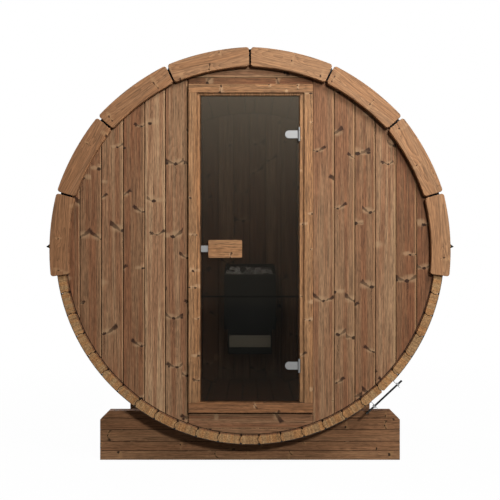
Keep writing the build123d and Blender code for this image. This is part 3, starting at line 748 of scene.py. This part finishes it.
# painted light: the header's upper board, next to the staves, gets a pale tone
walls = dict(left=(-0.9925, -0.882, -0.771, -0.6575, -0.5465, -0.4395, -0.3245),
             leftTones=(0.2, 0.27, 0.48, 0.25, 1.0, 0.5),
             rightFirst=0.4357, rightPitch=0.1066, rightTones=(0.5, 0.4, 0.3, 0.6, 0.12, 0.1),
             header=(2.0235, 2.14), headerTones=(0.04, 0.75), lower=(0.098, 0.208), lowerTones=(0.3, 0.32),
             rearPitch=0.1095, rearCount=18, rearTones=(0.25, 0.75), rearSeed=3)
makeWall("leftWallBoards", "front_wall_left", walls["left"], walls["leftTones"], 101,
         "narrowBevel", (verticalWall, verticalHighlight, jointShade))
rightJoints = evenJoints(walls["rightFirst"], walls["rightPitch"], 5)
makeWall("rightWallBoards", "front_wall_right", [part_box("front_wall_right")[0].x] + rightJoints,
         walls["rightTones"], 111, "bevel", (verticalWall, verticalHighlight, paleJoint))
makeWall("headerWallBoards", "front_wall_header", (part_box("front_wall_header")[0].z, *walls["header"]),
         walls["headerTones"], 121, "levelBevel", (levelWall, levelHighlight, paleJoint), level=True)
makeWall("lowerWallBoards", "front_wall_lower", (*walls["lower"], lowerTop), walls["lowerTones"], 131,
         "levelBevel", (lowerWall, lowerHighlight, paleJoint), level=True)
rearCount = walls["rearCount"]
rearDraws = random.Random(walls["rearSeed"])
makeWall("rearWallBoards", "rear_wall",
         evenJoints(-rearCount / 2 * walls["rearPitch"], walls["rearPitch"], rearCount),
         [rearDraws.uniform(*walls["rearTones"]) for _ in range(rearCount)], 141,
         "bevel", (verticalWall, verticalHighlight, jointShade), outward=1)
print("walls made")

# cradles: planks laid level, cut to the cradle's shape

cradlePlanks = dict(joints=(-0.002, 0.0494, 0.1, 0.163, 0.225, 0.285), gap=0.0003, groove=0.0022,
                    tones=(0.7, 0.3, 0.5, 0.2, 0.4))


def makeCradle(name, node, firstNumber):
    low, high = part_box(node)
    cut, joints = cradlePlanks["groove"], cradlePlanks["joints"]
    planks = []
    for k, (bottom, top) in enumerate(zip(joints[:-1], joints[1:])):
        bottom += cradlePlanks["gap"]
        outline = [(low.y, bottom + cut), (low.y + cut, bottom), (high.y - cut, bottom), (high.y, bottom + cut),
                   (high.y, top - cut), (high.y - cut, top), (low.y + cut, top), (low.y, top - cut)]
        points = [Vector((low.x - spare, y, z)) for y, z in outline]
        plank = extrudeOutline("plank", points, (high.x - low.x + 2 * spare, 0, 0), cradleBoard, cradleGrooveShade)
        for face in plank.data.polygons:
            face.material_index = 1 if min(abs(face.normal.y), abs(face.normal.z)) > 0.3 else 0
        markBoard(plank, firstNumber + k, cradlePlanks["tones"][k])
        planks.append(plank)
    cradle = joinPieces(name, planks)
    keepInside(cradle, node)
    finishPiece(cradle, "wood_cradle", [node])


makeCradle("frontCradlePlanks", "front_cradle", 161)
makeCradle("rearCradlePlanks", "rear_cradle", 171)
print("cradles made")

# roof: shingle courses from the eaves up to a capped ridge

roof = dict(exposure=0.1425, overlap=0.03, thickness=0.0045, lift=0.0058, sink=0.0003, tabs=5, slot=0.007,
            corner=0.006, bends=5, leastAngle=0.005, innerRadius=1.0033, arcSteps=28,
            capWidth=0.19, capStep=0.1428, capThickness=0.0035, capBends=8, capGap=0.001, capLift=0.6,
            underTone=0.3, seed=11)
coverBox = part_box("roof_cover_right")
coverRadius = coverBox[1].x
coverCentre = coverBox[1].z - coverRadius
eaveHeight = coverBox[0].z
eaveAngle = acos((eaveHeight - coverCentre) / coverRadius)
tabLength = roof["exposure"] + roof["overlap"]


def underlay(side):  # the boarded felt under the shingles: a crescent between the barrel and the roof's arc
    shingled = coverRadius - roof["thickness"] - roof["lift"]
    arcs = []
    for radius, centre in ((shingled, coverCentre), (roof["innerRadius"], axisHeight)):
        eave = acos((eaveHeight - centre) / radius)
        angles = [eave * k / roof["arcSteps"] for k in range(roof["arcSteps"] + 1)]
        arcs.append([Vector((side * radius * sin(a), frontEnd, centre + radius * cos(a))) for a in angles])
    shell = extrudeOutline("underlay", arcs[0] + arcs[1][::-1], (0, barrelLength, 0))
    markBoard(shell, 0, roof["underTone"])
    return shell


def flatSheet(long, wide, thick, middle, cuts):  # a flat sheet, cut across so that it can bend
    bpy.ops.object.select_all(action="DESELECT")
    bpy.ops.mesh.primitive_cube_add(size=1, location=middle, scale=(long, wide, thick))
    sheet = bpy.context.object
    bpy.ops.object.transform_apply(location=True, rotation=True, scale=True)
    bpy.ops.object.mode_set(mode="EDIT")
    for x in cuts:
        bpy.ops.mesh.select_all(action="SELECT")
        bpy.ops.mesh.bisect(plane_co=(x, 0, 0), plane_no=(1, 0, 0))
    bpy.ops.object.mode_set(mode="OBJECT")
    return sheet


def makeTab(width):  # one shingle tab lying flat: x runs down the slope, y along the roof
    thickness = roof["thickness"]
    tab = flatSheet(tabLength, width - roof["slot"], thickness, (tabLength / 2, 0, thickness / 2),
                    [tabLength * k / roof["bends"] for k in range(1, roof["bends"])])
    bpy.ops.object.mode_set(mode="EDIT")
    bpy.ops.mesh.select_mode(type="EDGE")
    bpy.ops.mesh.select_all(action="DESELECT")
    mesh = bmesh.from_edit_mesh(tab.data)
    for edge in mesh.edges:  # the upright edges of its lower end
        one, other = (vertex.co for vertex in edge.verts)
        edge.select_set(min(one.x, other.x) > tabLength - 0.0001 and abs(one.y - other.y) < 0.0001)
    bmesh.update_edit_mesh(tab.data)
    bpy.ops.mesh.bevel(offset=roof["corner"], segments=2)
    bpy.ops.object.mode_set(mode="OBJECT")
    return tab


def makeCap():  # one ridge cap lying flat, its middle at the origin
    width, bends = roof["capWidth"], roof["capBends"]
    cuts = [width * k / bends for k in range(1 - bends // 2, bends // 2)]
    return flatSheet(width, roof["capStep"], roof["capThickness"], (0, 0, 0), cuts)


def bendSheet(sheet, side, topAngle, y, reachOf):  # wraps a copy round the roof, as far out as reachOf says
    piece = copyPiece(sheet, Matrix())
    for vertex in piece.data.vertices:
        reach = reachOf(vertex.co)
        angle = topAngle + vertex.co.x / coverRadius
        vertex.co = Vector((side * reach * sin(angle), y + vertex.co.y, coverCentre + reach * cos(angle)))
    if side < 0:
        piece.data.flip_normals()
    markBoard(piece, 1, roofTones.random())
    return piece


def tabReach(flat):  # a tab's lower edge is lifted onto the next one
    lift = roof["lift"] * (1 - flat.x / tabLength)
    return coverRadius - roof["thickness"] - lift + flat.z - roof["sink"]


def capReach(flat):  # each cap's front edge lies on the one before
    lift = roof["thickness"] * roof["capLift"] * (0.5 - flat.y / roof["capStep"])
    return coverRadius + roof["capGap"] + flat.z + lift


tabWidth = barrelLength / roof["tabs"]
wholeTab, halfTab, cap = makeTab(tabWidth), makeTab(tabWidth / 2), makeCap()
wholeRow = [(wholeTab, frontEnd + tabWidth * (k + 0.5)) for k in range(roof["tabs"])]
brokenRow = [(halfTab, frontEnd + tabWidth / 4), (halfTab, rearEnd - tabWidth / 4)]
brokenRow += [(wholeTab, frontEnd + tabWidth * (k + 1)) for k in range(roof["tabs"] - 1)]
roofTones = random.Random(roof["seed"])
for name, side in (("left", -1), ("right", 1)):
    pieces = [underlay(side)]
    for course in range(ceil(eaveAngle * coverRadius / roof["exposure"])):
        topAngle = eaveAngle - course * roof["exposure"] / coverRadius - tabLength / coverRadius
        if topAngle < roof["leastAngle"]:
            break
        for tab, y in brokenRow if course % 2 else wholeRow:
            pieces.append(bendSheet(tab, side, topAngle, y, tabReach))
    cover = joinPieces(name + "Shingles", pieces)
    finishPiece(cover, "roof_felt", ["roof_cover_" + name], felt)
capCount = round(barrelLength / roof["capStep"])
capStep = barrelLength / capCount
caps = [bendSheet(cap, 1, 0, frontEnd + capStep * (k + 0.5), capReach) for k in range(capCount)]
for pattern in (wholeTab, halfTab, cap):
    bpy.data.objects.remove(pattern)
ridge = joinPieces("ridgeCaps", caps)
finishPiece(ridge, "roof_felt", [], felt)
print("roof made")

# heater stones: a heap of broken rock in the tray

stones = dict(size=0.037, pitch=0.034, layers=((9, 8, 0.0), (8, 7, 0.013), (8, 6, 0.024)), roughness=0.0085,
              squash=((0.75, 1.15), (0.7, 1.1), (0.55, 0.85)), tilt=0.6, shift=0.005, sink=0.008, rise=0.006,
              seed=5)


def makeStones():
    low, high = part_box("heater_stones")
    middle = (low + high) / 2
    trayTop = low.z + stoneTrayDepth
    draw = random.Random(stones["seed"])
    tilt, shift = stones["tilt"], stones["shift"]
    pieces = []
    for columns, rows, height in stones["layers"]:
        for i in range(columns):
            for j in range(rows):
                bpy.ops.object.select_all(action="DESELECT")
                bpy.ops.mesh.primitive_ico_sphere_add(subdivisions=2, radius=stones["size"] / 2)
                piece = bpy.context.object
                bpy.ops.object.mode_set(mode="EDIT")
                bpy.ops.transform.vertex_random(offset=stones["roughness"], uniform=0.6, normal=0.4,
                                                seed=draw.randint(1, 9999))
                bpy.ops.object.mode_set(mode="OBJECT")
                squash = [draw.uniform(*limits) for limits in stones["squash"]]
                turn = Matrix.Rotation(draw.uniform(0, pi), 4, "Z")
                turn = turn @ Matrix.Rotation(draw.uniform(-tilt, tilt), 4, "X")
                x = middle.x + (i - (columns - 1) / 2) * stones["pitch"] + draw.uniform(-shift, shift)
                y = middle.y + (j - (rows - 1) / 2) * stones["pitch"] + draw.uniform(-shift, shift)
                z = trayTop + height + draw.uniform(-stones["sink"], stones["rise"])
                piece.data.transform(Matrix.Translation((x, y, z)) @ turn @ Matrix.Diagonal((*squash, 1)))
                markBoard(piece, 1, draw.random())
                pieces.append(piece)
    heap = joinPieces("heaterStoneHeap", pieces)
    smooth(heap, 24)
    finishPiece(heap, "heater_stone", ["heater_stones"], stone)


makeStones()
print("stones made")

# CAD parts that keep their shape get their material here

finishes = ((trimUpright, ("door_frame_left", "door_frame_right")), (headBoard, ("door_frame_head",)),
            (sillBoard, ("door_sill",)), (stopBoard, ("door_stops",)), (glass, ("door_glass",)),
            (trimLevel, ("door_handle_outside", "door_handle_inside")),
            (fasciaBoard, ("front_fascia_left", "front_fascia_right", "rear_fascia_left", "rear_fascia_right")),
            (floorBoard, ("floor_boards", "floor_bearers")),
            (satinSteel, ("door_latch", "hinge_tabs", "hinge_pins", "heater_bracket")),
            (strapSteel, ("front_band", "rear_band")), (threadSteel, ("front_tensioner", "rear_tensioner")),
            (rimHighlightCoat, ("heater_body",)), (heaterCoat, ("heater_base",)), (panelCoat, ("heater_panel",)),
            (blackEdge, ("roof_drip_edge_left", "roof_drip_edge_right")))
for material, nodes in finishes:
    for node in nodes:
        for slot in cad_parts[node].material_slots:
            slot.link = "OBJECT"
            slot.material = material
print("CAD parts dressed")

# stage, light and camera

stage = dict(floorSize=40, floorGap=0.0005, floorGrey="#5a5a5a", white="#ffffff", nearShare=0.975, fadeFrom=1.6,
             fadeTo=4.5, ambient=0.028, cameraDistance=4.985, lens=58.83)
frontMiddle, rearMiddle = (0, frontEnd, axisHeight), (0, rearEnd, axisHeight)
lamps = dict(keyLight=dict(place=(1.2, -6.3, 2.55), power=156, size=0.45, aim=frontMiddle),
             fillLight=dict(place=(1.3, -3.2, 3.2), power=77, size=1.4, aim=frontMiddle),
             backLight=dict(place=(-2.0, 5.5, 3.2), power=185, size=2.0, aim=rearMiddle),
             leftLight=dict(place=(-5.0, 0.5, 2.6), power=60, size=2.0, aim=(0, 0, axisHeight)),
             rightLight=dict(place=(5.0, 0.8, 2.6), power=60, size=2.0, aim=(0, 0, axisHeight)),
             cabinLight=dict(place=(-0.08, -0.5, 1.7), power=4.7, size=0.3, aim=(0, 0.6, 0.75)),
             footLight=dict(place=(0, -0.55, 0.62), power=1.1, size=0.25, aim=(0, 0.7, 0.3)))


def backdropShare(tree):  # 1 for rays that see the background itself
    path = wire(tree, "LightPath").outputs
    seen = wire(tree, "Math MAXIMUM", path["Is Camera Ray"], path["Is Glossy Ray"])
    return wire(tree, "Math MAXIMUM", seen, path["Is Transmission Ray"])


def addFloor():  # pale where it is seen, with the object's shadow, and grey to the light that it throws back
    bpy.ops.object.select_all(action="DESELECT")
    bpy.ops.mesh.primitive_plane_add(size=stage["floorSize"], location=(0, 0, cadBox[0][2] - stage["floorGap"]))
    floor = bpy.context.object
    floor.name = "studioFloor"
    material, tree = emptyMaterial("paleFloor")
    away = wire(tree, "VectorMath LENGTH", objectPoint(tree))
    share = wire(tree, "MapRange SMOOTHSTEP", away, stage["fadeFrom"], stage["fadeTo"], stage["nearShare"], 1)
    white = stage["white"]
    seen = wire(tree, "MixShader", share, wire(tree, "BsdfDiffuse", white), wire(tree, "Emission", white, 1.0))
    matt = wire(tree, "BsdfDiffuse", stage["floorGrey"])
    wire(tree, "OutputMaterial", wire(tree, "MixShader", backdropShare(tree), matt, seen))
    floor.data.materials.append(material)


def addBackdrop():  # soft light on the object, and white behind it
    world = bpy.data.worlds.new("studio")
    bpy.context.scene.world = world
    world.use_nodes = True
    tree = world.node_tree
    tree.nodes.clear()
    soft = wire(tree, "Background", stage["white"], stage["ambient"])
    white = wire(tree, "Background", stage["white"], 1.0)
    wire(tree, "OutputWorld", wire(tree, "MixShader", backdropShare(tree), soft, white))


def addLamp(name, place, power, size, aim):  # a round soft lamp
    bpy.ops.object.light_add(type="AREA", location=place)
    lamp = bpy.context.object
    lamp.name = name
    lamp.data.energy = power
    lamp.data.shape = "DISK"
    lamp.data.size = size
    lamp.rotation_euler = (Vector(aim) - Vector(place)).to_track_quat("-Z", "Y").to_euler()


addFloor()
addBackdrop()
for name, values in lamps.items():
    addLamp(name, **values)
bpy.ops.object.camera_add(location=(0, -stage["cameraDistance"], axisHeight), rotation=(pi / 2, 0, 0))
camera = bpy.context.object
camera.name = "viewCamera"
camera.data.lens = stage["lens"]
bpy.context.scene.camera = camera
bpy.context.scene.view_settings.view_transform = "Standard"
print("stage made")
